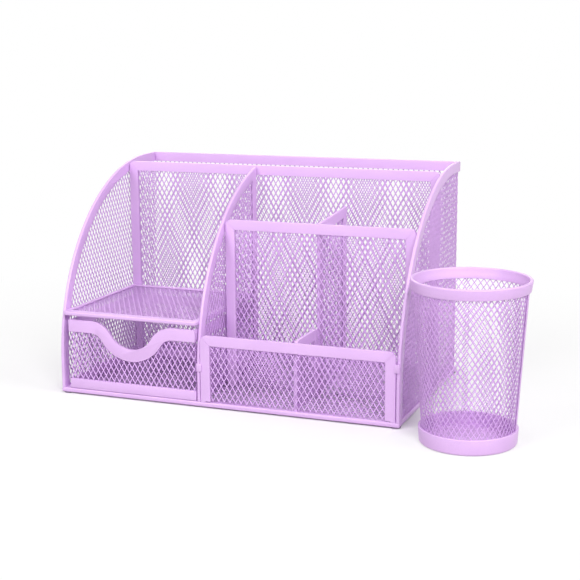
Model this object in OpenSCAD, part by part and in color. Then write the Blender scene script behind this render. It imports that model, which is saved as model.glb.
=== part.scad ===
// Desk organizer of expanded steel mesh: a pen stand with a drawer, and a loose pen cup.
// Every flat net is two layers of crossing strands, held in a folded steel strip round its edge
// and open at the foot where it stands on the base. The cup's sleeve is a pierced cone.
// X runs to the right, Y to the back and Z up. The origin is the middle of the footprint.

/* [Organizer] */
// Width of the organizer over its side panels
box_w = 221.4; // [200:0.2:250]
// Depth of the organizer from front plane to back panel
box_d = 133; // [125:1:155]
// Height of the back panel above the table
box_h = 140; // [130:0.5:160]
// Radius of the swept front edge of the side panels
sweep_r = 120.5; // [95:0.5:124]
// Radius of the top corners of the cross walls
corner_r = 4; // [2:0.5:6]

/* [Net and folded edge] */
// Thickness of a folded edge strip
edge_t = 2; // [1.6:0.1:2.6]
// Width of a folded edge strip
band_w = 6.2; // [5.6:0.2:9]
// Thickness of a net over both layers of strands
mesh_t = 0.8; // [0.6:0.1:1]
// Width of one strand of a flat net
strand_w = 1.2; // [0.8:0.1:1.6]
// Free space between the two layers of strands
layer_gap = 0.04; // [0.02:0.01:0.1]
// Width of one diamond of a flat net
diamond_w = 9; // [7:0.5:14]
// Height of one diamond of a flat net
diamond_h = 13.5; // [10:0.5:20]
// How far a net stays inside the outer edge of its strip
sheet_inset = 2; // [1:0.1:3]
// Free space between a net's edge and the fold it sits in
fold_gap = 0.3; // [0.2:0.05:0.5]
// Width of the joint line where two strips meet in a mitre
mitre_w = 0.3; // [0.2:0.05:0.5]
// Depth of that joint line
mitre_depth = 0.2; // [0.1:0.05:0.3]

/* [Compartments] */
// Clear width of the drawer bay
bay_w = 92.2; // [75:0.2:105]
// Distance from the front plane to the pen wall
pen_wall_y = 39.5; // [30:0.5:48]
// Distance from the front plane to the letter wall
letter_wall_y = 92.5; // [85:0.5:100]
// Clear width of the cells between the bay wall and the dividers
left_cell_w = 60; // [45:1:70]
// Height of the front wall above the table
front_wall_h = 45; // [35:0.5:55]
// Free space beside the front wall, which its tabs bridge
front_wall_gap = 0.5; // [0.4:0.1:1.5]
// Height of the slit under the front wall, between its two feet
front_slit_h = 0.7; // [0.5:0.1:1.2]
// Width of the front wall's feet beside that slit
front_foot_w = 3; // [2:0.5:5]
// How far the pen divider's top climbs from the pen wall to the letter wall
divider_climb = 4; // [0:0.5:8]
// How far the cross walls rise over the swept edge, and dividers over the low wall
wall_rise = 0.7; // [0.5:0.1:2]
// Free space at the upright ends of the pen and letter walls, and behind the bay wall
wall_end_gap = 0.6; // [0.4:0.1:1]

/* [Base and shelf] */
// Height of the foot pads
foot_h = 0.6; // [0.5:0.1:2]
// Diameter of the foot pads
foot_d = 6; // [4:0.5:6.5]
// Height of the folded strip round the base
base_h = 3; // [2.4:0.1:4]
// Height of the shelf's top face above the table
shelf_top = 52.8; // [50:0.2:60]
// Thickness of the folded strip round the shelf
shelf_t = 2.6; // [2.4:0.1:4]
// Width of the shelf's front strip
shelf_front_w = 5; // [4:0.5:8]
// Width of the strips along the shelf's sides and rear
shelf_side_w = 3.4; // [3:0.2:6]
// Radius of the shelf's front corners, seen from above
shelf_corner_r = 3; // [2:0.5:4]

/* [Joining tabs] */
// Height of a joining tab
tab_h = 5; // [3:0.5:8]
// Thickness of a joining tab
tab_t = 0.5; // [0.4:0.1:1.2]
// How far a tab laps on to the front wall
tab_lap = 1; // [1:0.5:4]
// Height of the left tab's middle above the table
left_tab_z = 25; // [15:0.5:35]
// Height of the right tab's middle above the table
right_tab_z = 35.5; // [20:0.5:38]

/* [Drawer] */
// Free space between the drawer and the left side panel
drawer_left_gap = 4.4; // [1:0.1:5]
// Free space between the drawer and the bay wall
drawer_right_gap = 0.8; // [0.8:0.1:2.5]
// Running clearance under the drawer
drawer_lift = 0.3; // [0.2:0.05:0.6]
// Height of the drawer's front at its ends
drawer_h = 43.7; // [38:0.1:44]
// Width of the wavy strip over the drawer's front
drawer_band_w = 7.4; // [6:0.2:9]
// Depth of the drawer
drawer_d = 88; // [70:1:88]
// Height of the strip round the drawer's bottom
drawer_base_h = 6; // [5:0.5:9]
// Depth of the finger scoop in the drawer's front
scoop_depth = 15.8; // [10:0.2:18]
// Half the width of the finger scoop where it leaves the level rim
scoop_half_w = 28; // [24:0.5:32]

/* [Pen cup] */
// Height of the cup
cup_h = 92; // [80:1:105]
// Outer diameter of the cup's rim
cup_rim_d = 66.4; // [60:0.4:76]
// Outer diameter of the cup's base pan
cup_base_d = 54.4; // [48:0.4:56]
// Height of the folded rim
cup_rim_h = 6.2; // [5:0.1:8]
// How far the rolled rim stands out from the sleeve
cup_rim_out = 2; // [1.8:0.1:3.2]
// Height of the base pan
cup_pan_h = 9; // [7:0.5:12]
// Thickness of the base pan's folded sheet
cup_pan_t = 1.4; // [1:0.1:1.8]
// Diamonds round the sleeve
cup_diamonds = 15; // [12:1:16]
// Height of one diamond of the sleeve
cup_diamond_h = 19; // [15:0.5:24]
// Width of the sleeve's strands between its diamonds
cup_strand_w = 1.6; // [1.2:0.1:2]
// Width of the two seam strips
seam_w = 3; // [2:0.5:8]
// Thickness of the seam strips
seam_t = 0.5; // [0.4:0.1:0.8]
// Free space between rolled pieces that seat on each other
cup_fit = 0.1; // [0.08:0.01:0.2]
// How far the sleeve's top edge stays under the cup's brim
rim_cover = 2.6; // [2.2:0.1:3]
// Radius of the rim's rolled corners
rim_roll_r = 1.1; // [0.8:0.1:1.2]
// How far the rim's outer face leans in towards its foot
rim_lean = 0.8; // [0:0.1:0.8]
// Width of the rim over its rolled top
rim_top_w = 2.6; // [2.4:0.1:4]
// Thickness of the rim's lip inside the sleeve
rim_lip_t = 0.7; // [0.6:0.1:1]
// Angles of the two seam strips, from the cup's right side
seam_angles = [0, 108]; // [0:1:359]
// Space between the organizer and the cup
cup_gap = 8.1; // [4:0.1:30]
// How far the cup's rim stands before the front plane
cup_forward = 39; // [20:0.5:60]

/* [Hidden] */
$fn = 48;
corner_facets = 16;
sweep_facets = 72;
roll_facets = 16;
lilac = "#ddb3f2";
lilac_light = "#efcbfc";
lilac_dark = "#c597dc";
over = 1;
edge_middle = (edge_t - mesh_t) / 2;
layer_t = (mesh_t - layer_gap) / 2;
fold_inset = sheet_inset - fold_gap;

base_top = foot_h + base_h;
sweep_low = box_h - sweep_r;
bay_wall_x = edge_t + bay_w;
cells_x = bay_wall_x + edge_t;
cells_w = box_w - edge_t - cells_x;
divider_x = cells_x + left_cell_w;
pen_wall_h = sweep_z(pen_wall_y) + wall_rise - base_top;
letter_wall_h = sweep_z(letter_wall_y) + wall_rise - base_top;
shell_w = box_w - 2 * edge_t;
letter_wall_w = shell_w - 2 * wall_end_gap;
pen_wall_x = cells_x + wall_end_gap;
pen_wall_w = cells_w - 2 * wall_end_gap;
bay_wall_d = letter_wall_y - wall_end_gap;
front_wall_w = cells_w - 2 * front_wall_gap;

pen_divider_d = letter_wall_y - pen_wall_y - edge_t;
clip_divider_d = pen_wall_y - edge_t;
clip_divider_h = front_wall_h + wall_rise - base_top;

shelf_d = letter_wall_y;
shelf_z = shelf_top - shelf_t;

drawer_w = bay_w - drawer_left_gap - drawer_right_gap;
drawer_x = edge_t + drawer_left_gap;
drawer_z = base_top + drawer_lift;
drawer_side_d = drawer_d - 2 * edge_t;
drawer_sheet_z = drawer_base_h / 2;
scoop_slope = 2 * atan(scoop_depth / scoop_half_w);
scoop_r = scoop_half_w / (2 * sin(scoop_slope));

rim_r = cup_rim_d / 2;
sleeve_top_r = rim_r - cup_rim_out;
sleeve_base_r = cup_base_d / 2 - cup_pan_t - cup_fit;
sleeve_top_z = cup_h - rim_cover;
sleeve_low_z = cup_pan_t;
cup_x = box_w + cup_gap + rim_r;
cup_y = rim_r - cup_forward;
window_low_z = cup_pan_h;
window_top_z = cup_h - cup_rim_h;
cup_rows = round((window_top_z - window_low_z) / cup_diamond_h);
cup_facets = 2 * cup_diamonds;

organizer_x = -(box_w + cup_gap + cup_rim_d) / 2;
organizer_y = -(box_d - cup_forward) / 2;

// Height of the swept edge at a distance from the front plane
function sweep_z(y) = y < sweep_r ? sweep_low + sqrt(pow(sweep_r, 2) - pow(sweep_r - y, 2)) : box_h;
// Outer radius of the cup's sleeve at a height
function sleeve_r(z) = sleeve_base_r
    + (sleeve_top_r - sleeve_base_r) * (z - sleeve_low_z) / (sleeve_top_z - sleeve_low_z);

// ---- Placing ----

module at_organizer() {
    translate([organizer_x, organizer_y, 0]) children();
}

module at_cup() {
    translate([organizer_x + cup_x, organizer_y + cup_y, 0]) children();
}

// A flat panel that faces the front, drawn as width by height
module across(x, y, z) {
    translate([x, y + edge_t, z]) rotate([90, 0, 0]) children();
}

// A flat panel that faces the side, drawn as depth by height
module along(x, y, z) {
    translate([x, y, z]) rotate([90, 0, 90]) children();
}

// ---- Net and folded strip ----

// Net over a box, two crossing layers of strands cut to the outline given as child. Its pitch is
// fitted to the box, so that no strand ends in a corner. Strands that lean to the right and start
// further left than from_x would graze the swept edge, and are left out
module net(x, z, w, h, from_x = undef) {
    nx = max(1, round(w / diamond_w));
    nz = max(1, round(h / diamond_h));
    pitch = w / nx;
    run = nz * pitch;
    half = strand_w / 2 * norm([run, h]) / h;
    first = is_undef(from_x) ? -nz : max(-nz, ceil((from_x - x) / pitch - 0.5));
    for (lean = [0, 1]) {
        translate([0, 0, edge_middle + lean * (layer_t + layer_gap)]) linear_extrude(layer_t) {
            intersection() {
                children(0);
                translate([x + lean * w, z]) mirror([lean, 0]) {
                    for (i = [(lean == 0 ? first : -nz):nx - 1]) {
                        foot = (i + 0.5) * pitch;
                        polygon([
                            [foot - half, 0], [foot + half, 0],
                            [foot + run + half, h], [foot + run - half, h]
                        ]);
                    }
                }
            }
        }
    }
}

// Where the first strand that leans right may start, so that it clears the swept edge's band
function sweep_from_x(w, h) = let(
    run = round(h / diamond_h) * w / round(w / diamond_w),
    reach = sweep_r - sheet_inset - 2 * strand_w
) sweep_r - (reach * norm([run, h]) + run * (sweep_low - base_top)) / h;

// Folded strip with the slot its net sits in: children are the outline, window and slot
module strip(thick = edge_t) {
    difference() {
        linear_extrude(thick) difference() {
            children(0);
            children(1);
        }
        translate([0, 0, (thick - mesh_t) / 2]) linear_extrude(mesh_t) children(2);
    }
}

// ---- Outlines ----

// Upright wall, inset at its sides and top, with round top corners
module wall_outline(w, h, inset, foot = 0) {
    r = corner_r - inset;
    difference() {
        translate([inset, foot]) square([w - 2 * inset, h - inset - foot]);
        if (r > 0) {
            for (side = [0, 1]) {
                translate([side * w, 0]) mirror([side, 0]) translate([inset, h - inset]) difference() {
                    translate([-over, -r]) square([over + r, r + over]);
                    translate([r, -r]) circle(r, $fn = corner_facets);
                }
            }
        }
    }
}

// Side panel with its swept front edge, inset along the front and the top only
module side_outline(inset, depth, foot = base_top) {
    intersection() {
        translate([inset, foot]) square([depth - inset, box_h - inset - foot]);
        union() {
            translate([sweep_r, sweep_low]) circle(sweep_r - inset, $fn = sweep_facets);
            square([box_d + over, sweep_low]);
            translate([sweep_r, 0]) square([box_d, box_h]);
        }
    }
}

// Bay wall: a side panel cut off at the letter wall, with a strip up its rear end too
module bay_outline(inset, foot = base_top) {
    intersection() {
        side_outline(inset, bay_wall_d, foot);
        square([bay_wall_d - inset, box_h]);
    }
}

// Rectangle with the same inset on all four sides
module frame_outline(w, d, inset) {
    translate([inset, inset]) square([w - 2 * inset, d - 2 * inset]);
}

// ---- Walls that repeat ----

module wall_strip(w, h) {
    difference() {
        strip() {
            wall_outline(w, h, 0);
            wall_outline(w, h, band_w, -over);
            wall_outline(w, h, fold_inset, -over);
        }
        for (side = [0, 1], face = [0, edge_t]) {
            translate([side * w, h, face]) mirror([side, 0, 0]) mitre_line();
        }
    }
}

// Joint line from a wall's outer corner to the corner of its window
module mitre_line() {
    rotate([0, 0, -45]) translate([0, -mitre_w / 2, -mitre_depth]) {
        cube([band_w * sqrt(2), mitre_w, 2 * mitre_depth]);
    }
}

// Strip over the top edge of a wall that has no strips up its ends
module top_strip(w, h) {
    difference() {
        translate([0, h - band_w, 0]) cube([w, band_w, edge_t]);
        translate([-over, 0, edge_middle]) cube([w + 2 * over, h - fold_inset, mesh_t]);
    }
}

module wall_net(w, h) {
    net(sheet_inset, 0, w - 2 * sheet_inset, h - sheet_inset) wall_outline(w, h, sheet_inset);
}

module side_strip() {
    strip() {
        side_outline(0, box_d);
        side_outline(band_w, box_d + over, base_top - over);
        side_outline(fold_inset, box_d + over, base_top - over);
    }
}

module side_net() {
    back = box_d - edge_middle;
    w = back - sheet_inset;
    h = box_h - sheet_inset - base_top;
    net(sheet_inset, base_top, w, h, sweep_from_x(w, h)) side_outline(sheet_inset, back);
}

// ---- Base ----

module base_edging() {
    color(lilac_light) at_organizer() translate([0, 0, foot_h]) strip(base_h) {
        frame_outline(box_w, box_d, 0);
        frame_outline(box_w, box_d, band_w);
        frame_outline(box_w, box_d, fold_inset);
    }
}

module floor_mesh() {
    lift = foot_h + (base_h - edge_t) / 2;
    color(lilac) at_organizer() translate([0, 0, lift]) {
        net(sheet_inset, sheet_inset, box_w - 2 * sheet_inset, box_d - 2 * sheet_inset) {
            frame_outline(box_w, box_d, sheet_inset);
        }
    }
}

module foot_pads() {
    inset = band_w / 2;
    color(lilac_dark) at_organizer() {
        for (x = [inset, box_w - inset], y = [inset, box_d - inset]) {
            translate([x, y, 0]) cylinder(h = foot_h, d = foot_d, $fn = corner_facets);
        }
    }
}

// ---- Outer shell ----

module left_side_edging() {
    color(lilac) at_organizer() along(0, 0, 0) side_strip();
}

module left_side_mesh() {
    color(lilac) at_organizer() along(0, 0, 0) side_net();
}

module right_side_edging() {
    color(lilac) at_organizer() along(box_w - edge_t, 0, 0) side_strip();
}

module right_side_mesh() {
    color(lilac) at_organizer() along(box_w - edge_t, 0, 0) side_net();
}

module back_edging() {
    h = box_h - base_top;
    color(lilac) at_organizer() across(edge_t, box_d - edge_t, base_top) top_strip(shell_w, h);
}

module back_mesh() {
    h = box_h - base_top;
    color(lilac) at_organizer() across(edge_t, box_d - edge_t, base_top) {
        net(0, 0, shell_w, h - sheet_inset) square([shell_w, h - sheet_inset]);
    }
}

// ---- Inner walls ----

module bay_wall_edging() {
    color(lilac) at_organizer() along(bay_wall_x, 0, 0) strip() {
        bay_outline(0);
        bay_outline(band_w, base_top - over);
        bay_outline(fold_inset, base_top - over);
    }
}

module bay_wall_mesh() {
    w = bay_wall_d - 2 * sheet_inset;
    h = sweep_z(bay_wall_d) - sheet_inset - base_top;
    color(lilac) at_organizer() along(bay_wall_x, 0, 0) {
        net(sheet_inset, base_top, w, h, sweep_from_x(w, h)) bay_outline(sheet_inset);
    }
}

module letter_wall_edging() {
    color(lilac) at_organizer() across(edge_t + wall_end_gap, letter_wall_y, base_top) {
        wall_strip(letter_wall_w, letter_wall_h);
    }
}

module letter_wall_mesh() {
    color(lilac) at_organizer() across(edge_t + wall_end_gap, letter_wall_y, base_top) {
        wall_net(letter_wall_w, letter_wall_h);
    }
}

module pen_wall_edging() {
    color(lilac_light) at_organizer() across(pen_wall_x, pen_wall_y, base_top) {
        wall_strip(pen_wall_w, pen_wall_h);
    }
}

module pen_wall_mesh() {
    color(lilac) at_organizer() across(pen_wall_x, pen_wall_y, base_top) {
        wall_net(pen_wall_w, pen_wall_h);
    }
}

module front_wall_edging() {
    h = front_wall_h - base_top;
    color(lilac_light) at_organizer() across(cells_x + front_wall_gap, 0, base_top) difference() {
        wall_strip(front_wall_w, h);
        translate([front_foot_w, -over, -over]) cube([
            front_wall_w - 2 * front_foot_w, over + front_slit_h, edge_t + 2 * over
        ]);
    }
}

module front_wall_mesh() {
    w = front_wall_w - 2 * sheet_inset;
    h = front_wall_h - base_top - sheet_inset - front_slit_h;
    color(lilac) at_organizer() across(cells_x + front_wall_gap, 0, base_top) {
        net(sheet_inset, front_slit_h, w, h) {
            wall_outline(front_wall_w, front_wall_h - base_top, sheet_inset, front_slit_h);
        }
    }
}

// A tab that laps the front wall's stile and fills the gap to the upright beside it
module tab() {
    reach = edge_t + front_wall_gap;
    translate([0, -tab_t, -tab_h / 2]) cube([reach + tab_lap, tab_t, tab_h]);
    translate([edge_t, -tab_t, -tab_h / 2]) cube([front_wall_gap, tab_t + edge_t, tab_h]);
}

module joining_tabs() {
    color(lilac_light) at_organizer() {
        translate([bay_wall_x, 0, left_tab_z]) tab();
        translate([box_w, 0, right_tab_z]) mirror([1, 0, 0]) tab();
    }
}

// ---- Dividers ----

// Pen divider, whose top climbs to the letter wall, inset at its ends and top
module climbing_outline(inset, foot = 0) {
    w = pen_divider_d;
    climb = divider_climb / w;
    drop = inset * norm([1, climb]);
    polygon([
        [inset, foot], [w - inset, foot],
        [w - inset, pen_wall_h + climb * (w - inset) - drop], [inset, pen_wall_h + climb * inset - drop]
    ]);
}

module pen_divider_edging() {
    color(lilac) at_organizer() along(divider_x, pen_wall_y + edge_t, base_top) strip() {
        climbing_outline(0);
        climbing_outline(band_w, -over);
        climbing_outline(fold_inset, -over);
    }
}

module pen_divider_mesh() {
    w = pen_divider_d - 2 * sheet_inset;
    h = pen_wall_h + divider_climb - sheet_inset;
    color(lilac) at_organizer() along(divider_x, pen_wall_y + edge_t, base_top) {
        net(sheet_inset, 0, w, h) climbing_outline(sheet_inset);
    }
}

module clip_divider_edging() {
    color(lilac) at_organizer() along(divider_x, edge_t, base_top) {
        wall_strip(clip_divider_d, clip_divider_h);
    }
}

module clip_divider_mesh() {
    color(lilac) at_organizer() along(divider_x, edge_t, base_top) {
        wall_net(clip_divider_d, clip_divider_h);
    }
}

// ---- Shelf over the drawer ----

// Shelf seen from above, its two front corners round
module shelf_outline(front, side) {
    r = max(shelf_corner_r - front, 0);
    difference() {
        translate([side, front]) square([bay_w - 2 * side, shelf_d - front - side]);
        if (r > 0) {
            for (end = [0, 1]) {
                translate([end * bay_w, 0]) mirror([end, 0]) translate([side, front]) difference() {
                    translate([-over, -over]) square(r + over);
                    translate([r, r]) circle(r, $fn = corner_facets);
                }
            }
        }
    }
}

module shelf_edging() {
    color(lilac_light) at_organizer() translate([edge_t, 0, shelf_z]) {
        strip(shelf_t) {
            shelf_outline(0, 0);
            shelf_outline(shelf_front_w, shelf_side_w);
            shelf_outline(fold_inset, fold_inset);
        }
    }
}

module shelf_mesh() {
    lift = shelf_z + (shelf_t - edge_t) / 2;
    color(lilac) at_organizer() translate([edge_t, 0, lift]) {
        net(sheet_inset, sheet_inset, bay_w - 2 * sheet_inset, shelf_d - 2 * sheet_inset) {
            shelf_outline(sheet_inset, sheet_inset);
        }
    }
}

// ---- Drawer ----

// Opening of the finger scoop, grown by a distance: one arc at the bottom, one at each shoulder
module scoop(grow) {
    low = drawer_h - scoop_depth;
    foot_x = (scoop_r + grow) * sin(scoop_slope);
    foot_z = low + scoop_r - (scoop_r + grow) * cos(scoop_slope);
    rim_z = drawer_h - grow;
    translate([drawer_w / 2, 0]) {
        translate([0, low + scoop_r]) circle(scoop_r + grow);
        difference() {
            polygon([
                [-foot_x, foot_z], [foot_x, foot_z], [scoop_half_w, rim_z],
                [scoop_half_w, drawer_h + over], [-scoop_half_w, drawer_h + over], [-scoop_half_w, rim_z]
            ]);
            for (side = [-1, 1]) {
                translate([side * scoop_half_w, drawer_h - scoop_r]) circle(scoop_r - grow);
            }
        }
    }
}

// Drawer front below its wavy rim
module drawer_front_outline(inset, foot = 0) {
    difference() {
        translate([0, foot]) square([drawer_w, drawer_h - inset - foot]);
        scoop(inset);
    }
}

module drawer_front_rim() {
    color(lilac_light) at_organizer() across(drawer_x, 0, drawer_z) strip() {
        drawer_front_outline(0);
        drawer_front_outline(drawer_band_w, -over);
        drawer_front_outline(fold_inset, -over);
    }
}

module drawer_front_mesh() {
    w = drawer_w - 2 * edge_middle;
    h = drawer_h - sheet_inset - drawer_sheet_z;
    color(lilac) at_organizer() across(drawer_x, 0, drawer_z) {
        net(edge_middle, drawer_sheet_z, w, h) intersection() {
            drawer_front_outline(sheet_inset, drawer_sheet_z);
            translate([edge_middle, 0]) square([w, drawer_h]);
        }
    }
}

// Net wall of the drawer from its bottom strip up into its rim, short of both ends by a distance
module drawer_wall(length, short) {
    w = length - 2 * short;
    h = drawer_h - sheet_inset - drawer_sheet_z;
    net(short, drawer_sheet_z, w, h) translate([short, drawer_sheet_z]) square([w, h]);
}

module drawer_left_rim() {
    color(lilac) at_organizer() along(drawer_x, edge_t, drawer_z) top_strip(drawer_side_d, drawer_h);
}

module drawer_left_mesh() {
    color(lilac) at_organizer() along(drawer_x, edge_t, drawer_z) drawer_wall(drawer_side_d, 0);
}

module drawer_right_rim() {
    x = drawer_x + drawer_w - edge_t;
    color(lilac) at_organizer() along(x, edge_t, drawer_z) top_strip(drawer_side_d, drawer_h);
}

module drawer_right_mesh() {
    x = drawer_x + drawer_w - edge_t;
    color(lilac) at_organizer() along(x, edge_t, drawer_z) drawer_wall(drawer_side_d, 0);
}

module drawer_back_rim() {
    y = drawer_d - edge_t;
    color(lilac) at_organizer() across(drawer_x, y, drawer_z) top_strip(drawer_w, drawer_h);
}

module drawer_back_mesh() {
    y = drawer_d - edge_t;
    color(lilac) at_organizer() across(drawer_x, y, drawer_z) drawer_wall(drawer_w, edge_middle);
}

// Strip round the drawer's bottom, slotted above for the walls and inside for the floor
module drawer_base_band() {
    slot_z = drawer_sheet_z - fold_gap;
    slot_out = edge_middle + mesh_t;
    color(lilac_light) at_organizer() translate([drawer_x, 0, drawer_z]) difference() {
        linear_extrude(drawer_base_h) difference() {
            square([drawer_w, drawer_d]);
            frame_outline(drawer_w, drawer_d, edge_t);
        }
        translate([0, 0, slot_z]) linear_extrude(drawer_base_h) difference() {
            frame_outline(drawer_w, drawer_d, edge_middle);
            frame_outline(drawer_w, drawer_d, slot_out);
        }
    }
}

module drawer_floor_mesh() {
    w = drawer_w - 2 * edge_t;
    d = drawer_d - 2 * edge_t;
    lift = drawer_z + fold_gap - edge_middle;
    color(lilac) at_organizer() translate([drawer_x + edge_t, edge_t, lift]) {
        net(0, 0, w, d) square([w, d]);
    }
}

// ---- Pen cup ----

// Section of a ring that follows the sleeve's slope, between two offsets and two heights
module sleeve_section(low, high, inner, outer) {
    polygon([
        [sleeve_r(low) + inner, low], [sleeve_r(low) + outer, low],
        [sleeve_r(high) + outer, high], [sleeve_r(high) + inner, high]
    ]);
}

// One diamond opening between strands of equal width
module diamond(w, h) {
    a = w / 2;
    b = h / 2;
    reach = a * b / norm([a, b]);
    k = (reach - cup_strand_w / 2) / reach;
    polygon([[a * k, 0], [0, b * k], [-a * k, 0], [0, -b * k]]);
}

module cup_mesh() {
    color(lilac) at_cup() difference() {
        rotate_extrude($fn = cup_facets) sleeve_section(sleeve_low_z, sleeve_top_z, -mesh_t, 0);
        cup_openings();
    }
}

// Diamonds cut square to the sleeve, in rows half a step apart, the end rows halved
module cup_openings() {
    rows = 2 * cup_rows;
    row_h = (window_top_z - window_low_z) / rows;
    for (row = [0:rows], i = [0:cup_diamonds - 1]) {
        z = window_low_z + row * row_h;
        w = 2 * PI * sleeve_r(z) / cup_diamonds;
        low = row == 0 ? 0 : -row_h;
        high = row == rows ? 0 : row_h;
        angle = (i + (row % 2) / 2) * 360 / cup_diamonds;
        rotate([0, 0, angle]) translate([0, 0, z]) rotate([90, 0, 90]) {
            translate([0, 0, sleeve_r(z) / 2]) linear_extrude(rim_r) intersection() {
                diamond(w, 2 * row_h);
                translate([-w / 2, low]) square([w, high - low]);
            }
        }
    }
}

// Folded rim: rolled over at the top, flaring outside, with the slot for the sleeve
module cup_rim() {
    low = window_top_z;
    slot_top = sleeve_top_z + fold_gap;
    shoulder = slot_top + fold_gap;
    crown = cup_h - rim_roll_r;
    lip = -mesh_t - cup_fit - rim_lip_t;
    inside = rim_r - rim_top_w;
    color(lilac_light) at_cup() rotate_extrude($fn = cup_facets) difference() {
        union() {
            polygon([
                [sleeve_r(low) + lip, low], [rim_r - rim_lean, low], [rim_r, crown],
                [inside, crown], [sleeve_r(shoulder) + lip, shoulder]
            ]);
            translate([rim_r - rim_roll_r, crown]) circle(rim_roll_r, $fn = roll_facets);
            translate([inside + rim_roll_r, crown]) circle(rim_roll_r, $fn = roll_facets);
            translate([inside + rim_roll_r, crown]) square([rim_top_w - 2 * rim_roll_r, rim_roll_r]);
        }
        sleeve_section(low - over, slot_top, -mesh_t - cup_fit, cup_fit);
    }
}

// Pressed pan that closes the cup's foot, its wall following the sleeve
module cup_base_pan() {
    color(lilac_light) at_cup() rotate_extrude($fn = cup_facets) {
        square([sleeve_r(cup_pan_t) + cup_fit + cup_pan_t, cup_pan_t]);
        sleeve_section(cup_pan_t, cup_pan_h, cup_fit, cup_fit + cup_pan_t);
    }
}

// Strips over the sleeve's two joints
module cup_seam_strips() {
    low = cup_pan_h + cup_fit;
    high = window_top_z - cup_fit;
    spread = seam_w / sleeve_r((low + high) / 2) * 180 / PI;
    color(lilac) at_cup() {
        for (angle = seam_angles) {
            rotate([0, 0, angle - spread / 2]) rotate_extrude(angle = spread) {
                sleeve_section(low, high, cup_fit, cup_fit + seam_t);
            }
        }
    }
}

base_edging();
floor_mesh();
foot_pads();
left_side_edging();
left_side_mesh();
right_side_edging();
right_side_mesh();
back_edging();
back_mesh();
bay_wall_edging();
bay_wall_mesh();
letter_wall_edging();
letter_wall_mesh();
pen_wall_edging();
pen_wall_mesh();
front_wall_edging();
front_wall_mesh();
joining_tabs();
pen_divider_edging();
pen_divider_mesh();
clip_divider_edging();
clip_divider_mesh();
shelf_edging();
shelf_mesh();
drawer_front_rim();
drawer_front_mesh();
drawer_left_rim();
drawer_left_mesh();
drawer_right_rim();
drawer_right_mesh();
drawer_back_rim();
drawer_back_mesh();
drawer_base_band();
drawer_floor_mesh();
cup_rim();
cup_mesh();
cup_base_pan();
cup_seam_strips();
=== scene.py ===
"""Desk organizer of lilac steel mesh, with a drawer and a loose pen cup.

Every length is in metres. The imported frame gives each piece's place: nets, strips and the
cup are made around the boxes of the CAD nodes they stand for.
"""

import math

import bpy
import numpy as np
from mathutils import Matrix, Vector


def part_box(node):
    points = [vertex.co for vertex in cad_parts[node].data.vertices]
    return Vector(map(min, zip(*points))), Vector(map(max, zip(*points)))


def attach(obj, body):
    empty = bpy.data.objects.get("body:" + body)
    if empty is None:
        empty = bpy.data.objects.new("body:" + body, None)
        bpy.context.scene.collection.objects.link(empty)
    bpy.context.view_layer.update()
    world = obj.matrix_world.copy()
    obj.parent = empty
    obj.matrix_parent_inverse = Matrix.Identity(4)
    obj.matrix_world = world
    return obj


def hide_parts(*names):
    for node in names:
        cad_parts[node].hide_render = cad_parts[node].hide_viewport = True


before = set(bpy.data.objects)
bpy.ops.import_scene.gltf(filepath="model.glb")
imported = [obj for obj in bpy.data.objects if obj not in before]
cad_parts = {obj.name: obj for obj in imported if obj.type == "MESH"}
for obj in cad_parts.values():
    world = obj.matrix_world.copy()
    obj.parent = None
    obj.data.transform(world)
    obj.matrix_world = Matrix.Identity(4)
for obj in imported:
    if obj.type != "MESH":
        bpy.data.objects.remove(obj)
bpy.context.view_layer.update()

MM = 0.001
ORGANIZER, DRAWER, CUP = "organizer", "drawer", "pen_cup"

# Expanded mesh of the organizer
DIAMOND_W = 3.68 * MM
DIAMOND_H = 6.25 * MM
LETTER_DIAMOND_W = 3.6 * MM
SHELL_DIAMOND_W = 3.47 * MM
STRAND_W = 0.52 * MM
STRAND_T = 0.32 * MM
# How far a slanted strand stands off the sheet's middle at an opening's corners. The nets that
# show their other face lean the other way
STRAND_TILT = 0.2 * MM
REAR_TILT = -0.2 * MM
# Radius of the bends at the organizer's rear corners
SHELL_BEND_R = 2.5 * MM

# Pen cup: the number of diamonds round its sleeve, their height, the strands and the sheet
CUP_ROUND = 54
CUP_DIAMOND_H = 4.95 * MM
CUP_STRAND_W = 0.42 * MM
CUP_TILT = 0.08 * MM
CUP_NET_T = 0.6 * MM
# Places of the sleeve's two seams, in degrees round the cup, and their width and thickness
SEAM_LAP_DEG = 108
SEAM_STRIP_DEG = 0
SEAM_W = 3 * MM
SEAM_STRIP_T = 0.4 * MM
# How far the rolled rim reaches inside the sleeve, and the wall of the pan
RIM_LIP_IN = 1.0 * MM
PAN_T = 1.4 * MM

# Folded strips: width, the side panels' swept edge, the drawer's finger scoop, and how far the
# pen divider's top climbs
BAND_W = 6.2 * MM
SWEEP_R = 120.5 * MM
SCOOP_R = 16.35 * MM
SCOOP_DEPTH = 15.8 * MM
SCOOP_HALF_W = 28 * MM
DRAWER_BAND_W = 7.4 * MM
DIVIDER_CLIMB = 4 * MM

# Points closer than this are one point
JOINED = 0.004 * MM


# ---- Camera ----

def point_camera():
    """Sets the camera where the photograph was taken from, found by fitting 13 corners."""
    eye = Vector((0.2706, -0.7172, 0.2251))
    turn_left, look_down, roll = (math.radians(a) for a in (21.46, 11.64, -0.39))
    lens = bpy.data.cameras.new("photo_view")
    lens.sensor_width = 36
    lens.lens = 79.1
    camera = bpy.data.objects.new("photo_view", lens)
    bpy.context.scene.collection.objects.link(camera)
    camera.matrix_world = (
        Matrix.Translation(eye)
        @ Matrix.Rotation(turn_left, 4, "Z")
        @ Matrix.Rotation(math.pi / 2 - look_down, 4, "X")
        @ Matrix.Rotation(roll, 4, "Z")
    )
    bpy.context.scene.camera = camera


# ---- Materials ----

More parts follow.
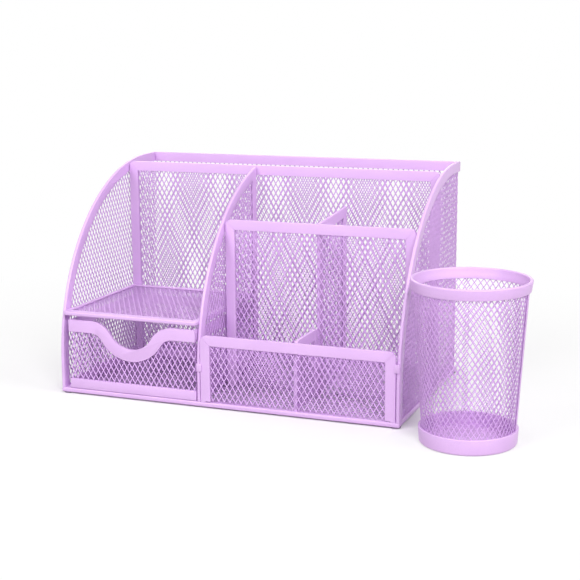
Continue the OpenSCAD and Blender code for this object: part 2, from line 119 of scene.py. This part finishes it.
def linear(hex_colour):
    """An sRGB hex colour as linear red, green, blue and alpha."""
    parts = [int(hex_colour[i:i + 2], 16) / 255 for i in (1, 3, 5)]
    return [c / 12.92 if c <= 0.04045 else ((c + 0.055) / 1.055) ** 2.4 for c in parts] + [1]


def add_node(tree, kind, feeds=None, **settings):
    """Adds a node with its settings; feeds gives each input a value or another node's output."""
    made = tree.nodes.new(kind)
    for key, value in settings.items():
        setattr(made, key, value)
    for socket, source in (feeds or {}).items():
        if isinstance(source, bpy.types.NodeSocket):
            tree.links.new(source, made.inputs[socket])
        else:
            made.inputs[socket].default_value = source
    return made


def powder_coat(name, colour, shade, rough=0.4, peel=0.03):
    """Satin polyester powder coat, sprayed dry and baked on steel: even colour, faint waves."""
    material = bpy.data.materials.new(name)
    material.use_nodes = True
    tree = material.node_tree
    shader = tree.nodes["Principled BSDF"]
    place = add_node(tree, "ShaderNodeTexCoord").outputs["Object"]
    # Film thickness drifts over 20 mm or so, which shows as a slightly deeper or paler tone
    drift = add_node(tree, "ShaderNodeTexNoise",
                     {"Vector": place, "Scale": 1 / (20 * MM), "Detail": 2.0})
    # Powder grains melt into 0.5 mm specks
    specks = add_node(tree, "ShaderNodeTexNoise",
                      {"Vector": place, "Scale": 1 / (0.5 * MM), "Detail": 1.0})
    blend = add_node(tree, "ShaderNodeMath",
                     {0: drift.outputs["Fac"], 1: specks.outputs["Fac"], 2: 0.1},
                     operation="MULTIPLY_ADD")
    tone = add_node(tree, "ShaderNodeValToRGB", {"Fac": blend.outputs[0]})
    tone.color_ramp.elements[0].position = 0.15
    tone.color_ramp.elements[0].color = linear(shade)
    tone.color_ramp.elements[1].position = 0.6
    tone.color_ramp.elements[1].color = linear(colour)
    tree.links.new(tone.outputs["Color"], shader.inputs["Base Color"])
    gloss = add_node(tree, "ShaderNodeMapRange",
                     {"Value": drift.outputs["Fac"],
                      "To Min": rough - 0.05, "To Max": rough + 0.05})
    tree.links.new(gloss.outputs["Result"], shader.inputs["Roughness"])
    # Orange peel: soft waves about 1.5 mm long
    waves = add_node(tree, "ShaderNodeTexNoise",
                     {"Vector": place, "Scale": 1 / (1.5 * MM), "Detail": 1.5})
    bump = add_node(tree, "ShaderNodeBump",
                    {"Height": waves.outputs["Fac"], "Strength": 1.0, "Distance": peel * MM})
    tree.links.new(bump.outputs["Normal"], shader.inputs["Normal"])
    return material


def soft_pad(name, colour, pale):
    """Matt elastomer foot pad, moulded: no gloss, fine grain between two tones."""
    material = bpy.data.materials.new(name)
    material.use_nodes = True
    tree = material.node_tree
    shader = tree.nodes["Principled BSDF"]
    place = add_node(tree, "ShaderNodeTexCoord").outputs["Object"]
    grain = add_node(tree, "ShaderNodeTexNoise",
                     {"Vector": place, "Scale": 1 / (0.4 * MM), "Detail": 2.0})
    tone = add_node(tree, "ShaderNodeMix", {"Factor": grain.outputs["Fac"]}, data_type="RGBA")
    tone.inputs["A"].default_value = linear(colour)
    tone.inputs["B"].default_value = linear(pale)
    tree.links.new(tone.outputs["Result"], shader.inputs["Base Color"])
    shader.inputs["Roughness"].default_value = 0.85
    bump = add_node(tree, "ShaderNodeBump", {"Height": grain.outputs["Fac"], "Distance": 0.05 * MM})
    tree.links.new(bump.outputs["Normal"], shader.inputs["Normal"])
    return material


EDGING_COAT = powder_coat("powder_coated_folded_steel", "#e2bcee", "#dab2e8")
# The nets' coat is a touch darker than the strips' coat, though both are one powder coat: painted
# shade for the thin strands, whose sides lie in shade
NET_COAT_PAINTED_SHADE = powder_coat("powder_coated_expanded_mesh", "#dcb2ec", "#d1a4e3", rough=0.42, peel=0.01)
PAD = soft_pad("elastomer_foot_pad", "#8d7a97", "#9a86a4")


# ---- Modelling helpers ----

def deselect_all():
    bpy.ops.object.select_all(action="DESELECT")


def active_only(piece):
    deselect_all()
    piece.select_set(True)
    bpy.context.view_layer.objects.active = piece


def edit(piece, mode="FACE"):
    """Opens a piece in edit mode with one selection mode; what code selected stays selected."""
    active_only(piece)
    bpy.ops.object.mode_set(mode="EDIT")
    bpy.ops.mesh.select_mode(type=mode)


def leave_edit():
    bpy.ops.object.mode_set(mode="OBJECT")


def select_faces(piece, chosen):
    """Selects the faces of a mesh by a list of truth values, from object mode."""
    mesh = piece.data
    for part in (mesh.vertices, mesh.edges):
        part.foreach_set("select", np.zeros(len(part), bool))
    mesh.polygons.foreach_set("select", np.asarray(chosen, bool))


def read_points(piece):
    """The vertices of a mesh as rows of x, y and z."""
    points = np.empty(len(piece.data.vertices) * 3)
    piece.data.vertices.foreach_get("co", points)
    return points.reshape(-1, 3)


def move_points(piece, points):
    piece.data.vertices.foreach_set("co", points.ravel())
    piece.data.update()


def face_centres(piece):
    centres = np.empty(len(piece.data.polygons) * 3)
    piece.data.polygons.foreach_get("center", centres)
    return centres.reshape(-1, 3)


def delete_faces(piece, chosen):
    if not np.any(chosen):
        return
    select_faces(piece, chosen)
    edit(piece)
    bpy.ops.mesh.delete(type="FACE")
    leave_edit()


def apply_modifier(piece, kind, **settings):
    active_only(piece)
    modifier = piece.modifiers.new(kind.lower(), kind)
    for key, value in settings.items():
        setattr(modifier, key, value)
    bpy.ops.object.modifier_apply(modifier=modifier.name)


def dress(piece, body, material, slot, *nodes):
    """Gives a finished piece its coat and its body, and hides the CAD nodes it stands for."""
    piece.data.materials.clear()
    piece.data.materials.append(material)
    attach(piece, body)
    if nodes:
        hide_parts(*nodes)


# ---- Folded strips ----

def merged_copy(node, name):
    """A copy of a CAD node's mesh with its loose triangles joined into whole flat faces."""
    piece = bpy.data.objects.new(name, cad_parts[node].data.copy())
    bpy.context.scene.collection.objects.link(piece)
    piece.data.name = name
    active_only(piece)
    bpy.ops.mesh.customdata_custom_splitnormals_clear()
    edit(piece)
    bpy.ops.mesh.select_all(action="SELECT")
    bpy.ops.mesh.remove_doubles(threshold=0.001 * MM)
    bpy.ops.mesh.dissolve_limited(angle_limit=math.radians(0.4))
    bpy.ops.mesh.select_all(action="DESELECT")
    leave_edit()
    return piece


def edge_sides(piece):
    """Every edge that two faces share, with those faces."""
    faces_of = {}
    for face in piece.data.polygons:
        for key in face.edge_keys:
            faces_of.setdefault(key, []).append(face)
    for edge in piece.data.edges:
        pair = faces_of.get(edge.key, [])
        if len(pair) == 2:
            yield edge, pair[0], pair[1]


def round_edges(piece, choose, radius, segments):
    """Bevels the edges for which choose says yes, given the edge's two faces."""
    mesh = piece.data
    chosen = [edge.index for edge, one, two in edge_sides(piece) if choose(one, two)]
    if not chosen:
        return
    select_faces(piece, np.zeros(len(mesh.polygons), bool))
    for index in chosen:
        mesh.edges[index].select = True
    edit(piece, "EDGE")
    bpy.ops.mesh.bevel(offset=radius, segments=segments, clamp_overlap=True, profile=0.5,
                       miter_outer="SHARP", loop_slide=True)
    bpy.ops.mesh.select_all(action="SELECT")
    bpy.ops.mesh.remove_doubles(threshold=JOINED)
    bpy.ops.mesh.dissolve_degenerate(threshold=JOINED)
    bpy.ops.mesh.select_all(action="DESELECT")
    leave_edit()


def smooth_by_angle(piece, degrees=35):
    active_only(piece)
    bpy.ops.object.shade_smooth_by_angle(angle=math.radians(degrees))


def folded_strip(node, facing, body=ORGANIZER, fold=0.75, lip=0.2, standing=True):
    """The steel strip folded over a net's edge: its fold rounded by one radius in millimetres,
    the strip's own cut edge broken by a smaller one where it ends on the net. A standing strip
    keeps its feet sharp."""
    axis = "xyz".index(facing)
    low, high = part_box(node)
    middle = (Vector(low) + Vector(high)) / 2
    piece = merged_copy(node, node + "_folded")
    points = piece.data.vertices

    def corner_kind(one, two):
        """'fold' or 'lip' for an edge where an outer flat side meets a narrow side, or None."""
        flat, narrow = (one, two) if abs(one.normal[axis]) > abs(two.normal[axis]) else (two, one)
        if abs(flat.normal[axis]) < 0.95 or abs(narrow.normal[axis]) > 0.1:
            return None
        if min(abs(flat.center[axis] - low[axis]), abs(flat.center[axis] - high[axis])) > 0.02 * MM:
            return None
        reach = [points[i].co[axis] for i in narrow.vertices]
        if max(reach) - min(reach) < 0.4 * MM:
            return None
        if standing and narrow.normal.z < -0.95:
            return None
        outward = (narrow.center - middle).dot(narrow.normal) > 0
        return "fold" if outward else "lip"

    round_edges(piece, lambda *sides: corner_kind(*sides) == "fold", fold * MM, 3)
    round_edges(piece, lambda *sides: corner_kind(*sides) == "lip", lip * MM, 2)
    smooth_by_angle(piece)
    dress(piece, body, EDGING_COAT, "coated_edging", node)


# ---- Expanded mesh ----

def tilt_strands(piece, middle_x, middle_y, pitch_w, pitch_h, count, tilt):
    """Leans every strand like a slat, as slitting and stretching leaves it: the top corner of each
    opening comes up by the tilt, its bottom corner goes down by as much."""
    points = read_points(piece)
    across, along = (points[:, 0] - middle_x) / pitch_w, (points[:, 1] - middle_y) / pitch_h
    one, two = (np.mod(way + count / 2, 1) - 0.5 for way in (along + across, along - across))
    crossing = np.minimum(0.5 - np.abs(one), 0.5 - np.abs(two)) < 0.01
    points[:, 2] += np.where(crossing, 0, tilt * (one + two))
    move_points(piece, points)


def flat_net(name, width, height, pitch_w=DIAMOND_W, pitch_h=DIAMOND_H, strand=STRAND_W,
             cut_away=None, tilt=STRAND_TILT):
    """A net on the floor plane, its corner at the origin: a grid stood on its corner, each square
    inset to a strand's half width and opened. cut_away marks faces to leave out by where their
    centres are."""
    deselect_all()
    count = math.ceil(width / pitch_w + height / pitch_h) + 2
    bpy.ops.mesh.primitive_grid_add(x_subdivisions=count, y_subdivisions=count, size=count)
    piece = bpy.context.active_object
    piece.name = name
    piece.data.name = name
    root_two = math.sqrt(2)
    piece.data.transform(
        Matrix.Translation((width / 2, height / 2, 0))
        @ Matrix.Diagonal((pitch_w / root_two, pitch_h / root_two, 1, 1))
        @ Matrix.Rotation(math.pi / 4, 4, "Z")
    )
    centre = face_centres(piece)
    outside = (
        (centre[:, 0] < -pitch_w) | (centre[:, 0] > width + pitch_w)
        | (centre[:, 1] < -pitch_h) | (centre[:, 1] > height + pitch_h)
    )
    if cut_away:
        outside |= cut_away(centre[:, 0], centre[:, 1])
    delete_faces(piece, outside)
    select_faces(piece, np.ones(len(piece.data.polygons), bool))
    edit(piece)
    bpy.ops.mesh.inset(thickness=strand / 2, use_individual=True, use_even_offset=True)
    bpy.ops.mesh.delete(type="FACE")
    leave_edit()
    tilt_strands(piece, width / 2, height / 2, pitch_w, pitch_h, count, tilt)
    edit(piece)
    for at, way in (((0, 0, 0), (-1, 0, 0)), ((width, 0, 0), (1, 0, 0)),
                    ((0, 0, 0), (0, -1, 0)), ((0, height, 0), (0, 1, 0))):
        bpy.ops.mesh.select_all(action="SELECT")
        bpy.ops.mesh.bisect(plane_co=at, plane_no=way, clear_outer=True)
    bpy.ops.mesh.select_all(action="DESELECT")
    leave_edit()
    return piece


def thicken(piece, thickness=STRAND_T):
    """Gives a net its sheet thickness and the soft edges of a coated strand."""
    edit(piece)
    bpy.ops.mesh.select_all(action="SELECT")
    bpy.ops.mesh.remove_doubles(threshold=0.002 * MM)
    bpy.ops.mesh.normals_make_consistent(inside=False)
    leave_edit()
    apply_modifier(piece, "SOLIDIFY", thickness=thickness, offset=0)
    active_only(piece)
    bpy.ops.object.shade_smooth()


FACING = {
    "x": Matrix(((0, 0, 1, 0), (1, 0, 0, 0), (0, 1, 0, 0), (0, 0, 0, 1))),
    "y": Matrix(((1, 0, 0, 0), (0, 0, -1, 0), (0, 1, 0, 0), (0, 0, 0, 1))),
    "z": Matrix.Identity(4),
}


def node_net(node, facing, body=ORGANIZER, pitch_w=DIAMOND_W, cut_away=None, tilt=STRAND_TILT):
    """The net of one flat CAD node, in the middle of that node's box."""
    low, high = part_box(node)
    axis = "xyz".index(facing)
    along, up = [i for i in range(3) if i != axis]
    piece = flat_net(node + "_fine", high[along] - low[along], high[up] - low[up], pitch_w,
                     cut_away=cut_away, tilt=tilt)
    thicken(piece)
    corner = Vector(low)
    corner[axis] = (low[axis] + high[axis]) / 2
    piece.data.transform(Matrix.Translation(corner) @ FACING[facing])
    dress(piece, body, NET_COAT_PAINTED_SHADE, "coated_mesh", node)
    return piece


def wrap(piece, corners, radius, level):
    """Bends an upright sheet, drawn flat, round a path of corners; its lower edge is at level."""
    points = read_points(piece)
    run, rise, lean = np.maximum(points[:, 0], 0), points[:, 1], points[:, 2]
    bent = np.zeros_like(points)
    start = 0.0
    for here, there in zip(corners, corners[1:]):
        way = np.array(there, float) - np.array(here, float)
        length = np.linalg.norm(way)
        way /= length
        beyond = run >= start
        inward = np.array((way[1], -way[0]))
        bent[beyond, :2] = (np.array(here) + np.outer(run[beyond] - start, way)
                            + np.outer(lean[beyond], inward))
        start += length
    start = 0.0
    for before, here, after in zip(corners, corners[1:], corners[2:]):
        first = np.array(here, float) - np.array(before, float)
        start += np.linalg.norm(first)
        first /= np.linalg.norm(first)
        second = np.array(after, float) - np.array(here, float)
        second /= np.linalg.norm(second)
        close = np.abs(run - start) < radius
        share = (run[close] - start + radius) / (2 * radius)
        turn = share * math.pi / 2
        centre = np.array(here) - first * radius + second * radius
        bent[close, :2] = (centre - np.outer((radius - lean[close]) * np.cos(turn), second)
                           + np.outer((radius - lean[close]) * np.sin(turn), first))
    bent[:, 2] = rise + level
    move_points(piece, bent)


def beyond_sweep(along, up, centre_along, centre_up, left):
    """True past the middle of the swept edge's band, left or right of the arc's centre."""
    side = along < centre_along if left else along > centre_along
    return side & (up > centre_up) & (
        np.hypot(along - centre_along, up - centre_up) > SWEEP_R - BAND_W / 2)


def shell_net():
    """One sheet bent round the two rear corners: left side, back and right side."""
    left_low, left_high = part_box("left_side_mesh")
    edge_low, edge_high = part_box("left_side_edging")
    left_x, right_x, back_y = (sum(end[axis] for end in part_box(node)) / 2 for node, axis in (
        ("left_side_mesh", 0), ("right_side_mesh", 0), ("back_mesh", 1)))
    front_y, foot = left_low.y, left_low.z
    depth, wide = back_y - front_y, right_x - left_x
    length = 2 * depth + wide
    centre_up = edge_high.z - SWEEP_R - foot
    centre_in = edge_low.y + SWEEP_R - front_y

    def cut_away(along, up):
        return (beyond_sweep(along, up, centre_in, centre_up, True)
                | beyond_sweep(along, up, length - centre_in, centre_up, False))

    piece = flat_net("shell_net", length, left_high.z - foot, SHELL_DIAMOND_W, cut_away=cut_away,
                     tilt=REAR_TILT)
    path = [(left_x, front_y), (left_x, back_y), (right_x, back_y), (right_x, front_y)]
    wrap(piece, path, SHELL_BEND_R, foot)
    thicken(piece)
    dress(piece, ORGANIZER, NET_COAT_PAINTED_SHADE, "coated_mesh",
          "left_side_mesh", "back_mesh", "right_side_mesh")


def bay_wall_net():
    """The bay wall's net ends in the middle of its swept strip."""
    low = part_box("bay_wall_mesh")[0]
    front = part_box("bay_wall_edging")[0].y
    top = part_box("left_side_edging")[1].z

    def cut_away(along, up):
        return beyond_sweep(along, up, front + SWEEP_R - low.y, top - SWEEP_R - low.z, True)

    node_net("bay_wall_mesh", "x", cut_away=cut_away)


def pen_divider_net():
    """The pen divider's net ends in the middle of its strip, whose top climbs to the rear."""
    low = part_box("pen_divider_mesh")[0]
    edge_low, edge_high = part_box("pen_divider_edging")
    slope = DIVIDER_CLIMB / (edge_high.y - edge_low.y)

    def cut_away(along, up):
        return up > edge_high.z - low.z - BAND_W / 2 - slope * (edge_high.y - low.y - along)

    node_net("pen_divider_mesh", "x", cut_away=cut_away)


def drawer_front_net():
    """The drawer front's net ends in the middle of its wavy strip."""
    low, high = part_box("drawer_front_mesh")
    middle = (low.x + high.x) / 2 - low.x
    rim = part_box("drawer_front_rim")[1].z - low.z
    grown = DRAWER_BAND_W / 2
    foot_at = math.sqrt(SCOOP_R ** 2 - (SCOOP_R - SCOOP_DEPTH / 2) ** 2)

    def cut_away(along, up):
        off = np.abs(along - middle)
        bowl = np.hypot(off, up - (rim - SCOOP_DEPTH + SCOOP_R)) < SCOOP_R + grown
        shoulder = np.hypot(off - SCOOP_HALF_W, up - (rim - SCOOP_R)) > SCOOP_R - grown
        return (bowl & (off < foot_at)) | (shoulder & (off >= foot_at) & (off < SCOOP_HALF_W)
                                           & (up > rim - SCOOP_DEPTH / 2 - grown))

    node_net("drawer_front_mesh", "y", DRAWER, cut_away=cut_away)


node_net("floor_mesh", "z", tilt=REAR_TILT)
node_net("shelf_mesh", "z", tilt=REAR_TILT)
node_net("letter_wall_mesh", "y", pitch_w=LETTER_DIAMOND_W, tilt=REAR_TILT)
for node, facing in (("pen_wall_mesh", "y"), ("front_wall_mesh", "y"), ("clip_divider_mesh", "x")):
    node_net(node, facing)
pen_divider_net()
shell_net()
bay_wall_net()
for node, facing in (
    ("drawer_floor_mesh", "z"), ("drawer_back_mesh", "y"), ("drawer_left_mesh", "x"),
    ("drawer_right_mesh", "x"),
):
    node_net(node, facing, DRAWER)
drawer_front_net()


def cup_centre():
    low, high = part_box("cup_rim")
    return (low + high) / 2


def sleeve_ends():
    """The sleeve's lowest and highest ring, each as height and outer radius, from the CAD node."""
    centre = cup_centre()
    low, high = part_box("cup_mesh")
    ends = {low.z: 0, high.z: 0}
    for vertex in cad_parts["cup_mesh"].data.vertices:
        for level in ends:
            if abs(vertex.co.z - level) < 0.01 * MM:
                away = math.hypot(vertex.co.x - centre.x, vertex.co.y - centre.y)
                ends[level] = max(ends[level], away)
    return (low.z, ends[low.z]), (high.z, ends[high.z])


SLEEVE_FOOT, SLEEVE_TOP = sleeve_ends()


def cup_radius(level):
    """Outer radius of the cup's sleeve at a height."""
    share = (level - SLEEVE_FOOT[0]) / (SLEEVE_TOP[0] - SLEEVE_FOOT[0])
    return SLEEVE_FOOT[1] + (SLEEVE_TOP[1] - SLEEVE_FOOT[1]) * share


def cup_net():
    """The sleeve's net: a band of whole diamonds closed into a ring that follows the cup's
    slope. Its upper edge ends inside the rim."""
    low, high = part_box("cup_mesh")
    centre = cup_centre()
    mean = (cup_radius(low.z) + cup_radius(high.z)) / 2
    around = 2 * math.pi * mean
    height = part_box("cup_rim")[0].z + 0.5 * MM - low.z
    piece = flat_net("cup_net", around, height, around / CUP_ROUND, CUP_DIAMOND_H, CUP_STRAND_W,
                     tilt=CUP_TILT)
    points = read_points(piece)
    turn = points[:, 0] / mean
    level = points[:, 1] + low.z
    radius = cup_radius(level) - CUP_NET_T / 2 + points[:, 2]
    x, y = centre.x + radius * np.cos(turn), centre.y + radius * np.sin(turn)
    move_points(piece, np.stack([x, y, level], -1))
    thicken(piece)
    dress(piece, CUP, NET_COAT_PAINTED_SHADE, "coated_mesh", "cup_mesh")


def cup_seam():
    """Where the sleeve's edges lap at the rear, a second layer of net lies half a diamond off; the
    other joint is under a plain strip."""
    low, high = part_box("cup_seam_strips")
    centre = cup_centre()
    mean = (cup_radius(low.z) + cup_radius(high.z)) / 2
    height = high.z - low.z

    def lay_on_sleeve(piece, at_deg, place):
        """Lays a flat piece on the sleeve; place gives each point's way along and up the seam."""
        for vertex in piece.data.vertices:
            along, up = place(vertex.co)
            level = up + low.z
            turn = math.radians(at_deg) + along / mean
            away = cup_radius(level) + SEAM_STRIP_T
            vertex.co = (centre.x + away * math.cos(turn), centre.y + away * math.sin(turn), level)
        piece.data.update()

    lap = flat_net("cup_seam_lap", SEAM_W, height, 2 * math.pi * mean / CUP_ROUND, CUP_DIAMOND_H,
                   CUP_STRAND_W, tilt=0)
    lay_on_sleeve(lap, SEAM_LAP_DEG, lambda at: (at.x - SEAM_W / 2, at.y))
    thicken(lap)
    dress(lap, CUP, NET_COAT_PAINTED_SHADE, "coated_mesh", "cup_seam_strips")

    deselect_all()
    bpy.ops.mesh.primitive_grid_add(x_subdivisions=6, y_subdivisions=8, size=1)
    strip = bpy.context.active_object
    strip.name = strip.data.name = "cup_seam_strip"
    lay_on_sleeve(strip, SEAM_STRIP_DEG, lambda at: (at.x * SEAM_W, (at.y + 0.5) * height))
    apply_modifier(strip, "SOLIDIFY", thickness=SEAM_STRIP_T, offset=0)
    apply_modifier(strip, "BEVEL", width=0.15 * MM, segments=2, limit_method="ANGLE")
    smooth_by_angle(strip)
    dress(strip, CUP, EDGING_COAT, "coated_edging", "cup_seam_strips")


def spun(name, section, node):
    """A ring or dish: its half section, drawn as radius and height, spun round the cup's axis."""
    deselect_all()
    centre = cup_centre()
    bpy.ops.mesh.primitive_circle_add(vertices=len(section), radius=1, fill_type="NOTHING")
    piece = bpy.context.active_object
    piece.name = piece.data.name = name
    for vertex, (away, level) in zip(piece.data.vertices, section):
        vertex.co = (centre.x + away, centre.y, level)
    edit(piece, "VERT")
    bpy.ops.mesh.select_all(action="SELECT")
    bpy.ops.mesh.spin(steps=96, angle=2 * math.pi, center=(centre.x, centre.y, 0), axis=(0, 0, 1),
                      use_auto_merge=True)
    bpy.ops.mesh.select_all(action="SELECT")
    bpy.ops.mesh.remove_doubles(threshold=0.005 * MM)
    bpy.ops.mesh.normals_make_consistent(inside=False)
    bpy.ops.mesh.select_all(action="DESELECT")
    leave_edit()
    smooth_by_angle(piece)
    dress(piece, CUP, EDGING_COAT, "coated_edging", node)


def quarter(away, level, radius, start, stop, steps=5):
    """Points of a rounded corner, from one angle to another."""
    turns = [math.radians(start + (stop - start) * i / steps) for i in range(steps + 1)]
    return [(away + radius * math.cos(t), level + radius * math.sin(t)) for t in turns]


def cup_rim():
    """The sleeve's rim: a steel strip rolled over the top in one narrow round, its lips let go a
    little to both sides."""
    low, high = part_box("cup_rim")
    outer = (high.x - low.x) / 2
    foot, roll, lip = low.z, 0.85 * MM, 0.25 * MM
    inner = cup_radius(foot) - RIM_LIP_IN
    lean = 0.8 * MM
    crown = high.z - roll
    section = quarter(inner + lip, foot + lip, lip, 180, 270, 3)
    section += quarter(outer - lean - lip, foot + lip, lip, -90, 0, 3)
    section += quarter(outer - roll, crown, roll, 0, 90, 6)
    section += quarter(outer - 1.35 * roll, crown, roll, 90, 180, 6)
    section += [(inner + 0.75 * MM, foot + 2.4 * MM)]
    spun("cup_rim_rolled", section, "cup_rim")


def cup_pan():
    """The pressed pan: drawn round at the foot, its edge softened by the coat."""
    low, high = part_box("cup_base_pan")
    wall = PAN_T + 0.1 * MM
    press, edge = 1.2 * MM, 0.4 * MM
    foot_r, top_r = (cup_radius(level) + wall for level in (press, high.z - edge))
    section = [(0, low.z)]
    section += quarter(foot_r - press, low.z + press, press, -90, 0)
    section += quarter(top_r - edge, high.z - edge, edge, 0, 90, 3)
    section += quarter(top_r - PAN_T + edge / 2, high.z - edge / 2, edge / 2, 90, 180, 2)
    section += [(foot_r - PAN_T, low.z + PAN_T), (0, low.z + PAN_T)]
    spun("cup_pan_pressed", section, "cup_base_pan")


def softened(node, radius, body=ORGANIZER, material=EDGING_COAT, slot="coated_edging"):
    """A CAD node with its outer edges rounded as the coat leaves them."""
    piece = merged_copy(node, node + "_softened")

    def outer(one, two):
        turns = one.normal.dot(two.normal) <= 0.7
        return turns and (two.center - one.center).dot(one.normal) < 0

    round_edges(piece, outer, radius * MM, 2)
    smooth_by_angle(piece)
    dress(piece, body, material, slot, node)


cup_net()
cup_seam()
cup_rim()
cup_pan()
softened("joining_tabs", 0.22)
softened("drawer_base_band", 0.3, DRAWER)
softened("foot_pads", 0.2, ORGANIZER, PAD, "foot_pad")

for node, facing in (
    ("left_side_edging", "x"), ("right_side_edging", "x"), ("bay_wall_edging", "x"),
    ("pen_divider_edging", "x"), ("clip_divider_edging", "x"),
    ("back_edging", "y"), ("letter_wall_edging", "y"), ("pen_wall_edging", "y"),
    ("front_wall_edging", "y"),
):
    folded_strip(node, facing)
for node in ("base_edging", "shelf_edging"):
    folded_strip(node, "z", standing=False)
for node, facing in (
    ("drawer_front_rim", "y"), ("drawer_back_rim", "y"), ("drawer_left_rim", "x"),
    ("drawer_right_rim", "x"),
):
    folded_strip(node, facing, DRAWER)

# The CAD nodes under the made pieces get the same coats
for name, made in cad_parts.items():
    made.data.materials.clear()
    if name == "foot_pads":
        made.data.materials.append(PAD)
    elif name.endswith("_mesh"):
        made.data.materials.append(NET_COAT_PAINTED_SHADE)
    else:
        made.data.materials.append(EDGING_COAT)


# ---- Floor, backdrop and light ----

def seen_by_camera(tree):
    """1 for what the camera sees straight or in a reflection, 0 for light on the object."""
    path = add_node(tree, "ShaderNodeLightPath")
    return add_node(tree, "ShaderNodeMath", {0: path.outputs["Is Camera Ray"],
                                             1: path.outputs["Is Glossy Ray"]},
                    operation="MAXIMUM").outputs[0]


def floor_material():
    """Plain white paper sweep, matt. To the camera the paper round the object is nearly
    overexposed, as in the photograph: it keeps a soft shadow, and is plain shaded paper under the
    organizer, where no light falls straight."""
    material = bpy.data.materials.new("white_paper_sweep")
    material.use_nodes = True
    tree = material.node_tree
    shader = tree.nodes["Principled BSDF"]
    shader.inputs["Roughness"].default_value = 0.9
    shader.inputs["Specular IOR Level"].default_value = 0.0
    seen = seen_by_camera(tree)
    paper = add_node(tree, "ShaderNodeMix", {"Factor": seen}, data_type="RGBA")
    paper.inputs["A"].default_value = linear("#b9b6b9")
    paper.inputs["B"].default_value = linear("#fafafa")
    tree.links.new(paper.outputs["Result"], shader.inputs["Base Color"])

    # How far a point lies outside the organizer's foot, and how overexposed that makes it: half
    # of the way in the first 20 mm, the rest by 300 mm
    near_edge, far_edge = 20 * MM, 300 * MM
    low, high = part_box("base_edging")
    middle, half = (low + high) / 2, (high - low) / 2
    place = add_node(tree, "ShaderNodeTexCoord").outputs["Object"]
    off = add_node(tree, "ShaderNodeVectorMath", {0: place, 1: (middle.x, middle.y, 0)},
                   operation="SUBTRACT")
    side = add_node(tree, "ShaderNodeVectorMath", {0: off.outputs[0]}, operation="ABSOLUTE")
    past = add_node(tree, "ShaderNodeVectorMath", {0: side.outputs[0], 1: (half.x, half.y, 1)},
                    operation="SUBTRACT")
    out = add_node(tree, "ShaderNodeVectorMath", {0: past.outputs[0], 1: (0, 0, 0)},
                   operation="MAXIMUM")
    away = add_node(tree, "ShaderNodeVectorMath", {0: out.outputs[0]}, operation="LENGTH")
    near = add_node(tree, "ShaderNodeMapRange",
                    {"Value": away.outputs["Value"], "From Max": near_edge, "To Max": 0.5},
                    interpolation_type="SMOOTHSTEP")
    far = add_node(tree, "ShaderNodeMapRange",
                   {"Value": away.outputs["Value"], "From Min": near_edge, "From Max": far_edge,
                    "To Max": 0.5})
    fade = add_node(tree, "ShaderNodeMath", {0: near.outputs[0], 1: far.outputs[0]},
                    operation="ADD")
    share = add_node(tree, "ShaderNodeMath", {0: fade.outputs[0], 1: seen}, operation="MULTIPLY")
    white = add_node(tree, "ShaderNodeEmission", {"Color": linear("#ffffff"), "Strength": 1.0})
    mix = add_node(tree, "ShaderNodeMixShader",
                   {0: share.outputs[0], 1: shader.outputs[0], 2: white.outputs[0]})
    tree.links.new(mix.outputs[0], tree.nodes["Material Output"].inputs["Surface"])
    return material


def studio():
    """Floor, white surroundings and softboxes, each at a place and aimed at a point in metres."""
    deselect_all()
    bpy.ops.mesh.primitive_plane_add(size=12, location=(0, 0, -0.2 * MM))
    floor = bpy.context.active_object
    floor.name = "floor"
    floor.data.materials.append(floor_material())

    world = bpy.data.worlds.new("studio")
    bpy.context.scene.world = world
    world.use_nodes = True
    tree = world.node_tree
    light = tree.nodes["Background"]
    light.inputs["Color"].default_value = linear("#ffffff")
    light.inputs["Strength"].default_value = 0.2
    white = add_node(tree, "ShaderNodeBackground", {"Color": linear("#ffffff"), "Strength": 1.0})
    mix = add_node(tree, "ShaderNodeMixShader",
                   {0: seen_by_camera(tree), 1: light.outputs[0], 2: white.outputs[0]})
    tree.links.new(mix.outputs[0], tree.nodes["World Output"].inputs["Surface"])

    for name, place, aim, size, watts in (
        ("key_softbox", (1.15, -1.75, 1.6), (0, 0, 0.05), 1.1, 40),
        ("left_softbox", (-0.9, -1.75, 1.3), (0, 0, 0.05), 1.1, 27),
        ("right_softbox", (1.9, -0.2, 1.3), (0, 0, 0.05), 1.0, 18),
        ("top_softbox", (0.0, 0.2, 1.9), (0, 0, 0), 1.2, 2),
        ("rear_softbox", (-0.9, 2.0, 1.1), (0, 0, 0.05), 1.1, 12),
    ):
        lamp = bpy.data.lights.new(name, "AREA")
        lamp.shape = "SQUARE"
        lamp.size = size
        lamp.energy = watts
        holder = bpy.data.objects.new(name, lamp)
        bpy.context.scene.collection.objects.link(holder)
        holder.location = place
        holder.rotation_euler = (Vector(aim) - Vector(place)).to_track_quat("-Z", "Y").to_euler()


point_camera()
studio()
bpy.context.scene.view_settings.view_transform = "Standard"
